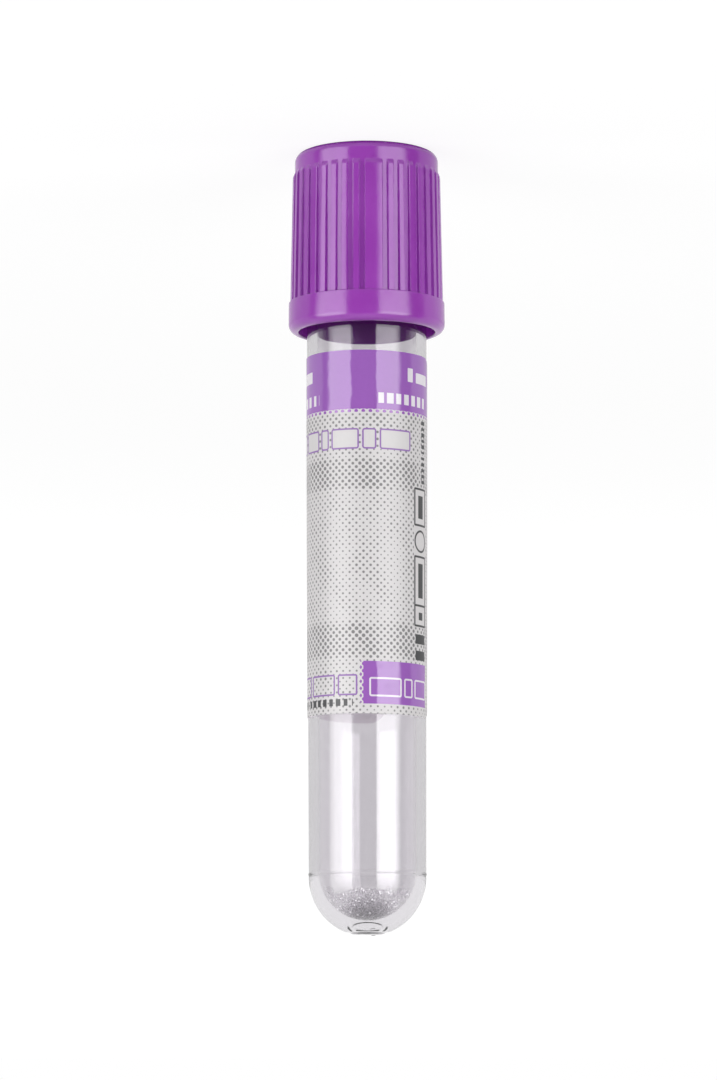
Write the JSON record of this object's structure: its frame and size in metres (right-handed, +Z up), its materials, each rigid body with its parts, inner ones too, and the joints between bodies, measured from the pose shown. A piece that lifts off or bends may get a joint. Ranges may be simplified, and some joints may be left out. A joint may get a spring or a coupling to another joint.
{
  "type": "blood collection tube",
  "caption": "Clear round-bottomed sample tube with a wrap-round label, a ribbed purple cap that holds a rubber stopper, and a dried additive film.",
  "frame": {"origin": "on the surface it stands on, in the middle of the cap's top", "axes": "+Z up along the tube from the cap to the round end, -Y out through the label's front, -X to the right of the label read upright"},
  "size_m": [0.0164, 0.0164, 0.0823],
  "materials": {
    "clear_plastic": "clear, polished",
    "stopper_rubber": "matt",
    "cap_plastic": "satin, moulded",
    "label_paper": "coated, printed",
    "dried_additive": "dried droplets"
  },
  "bodies": {
    "closure": {"cap": "cap_plastic", "stopper": "stopper_rubber"},
    "barrel": {"tube": "clear_plastic", "label": "label_paper", "additive": "dried_additive"}
  },
  "joints": [
    {"name": "tube_pull", "type": "slide", "parent": "closure", "child": "barrel", "axis": [0, 0, 1], "range_m": [0, 0.02]}
  ]
}
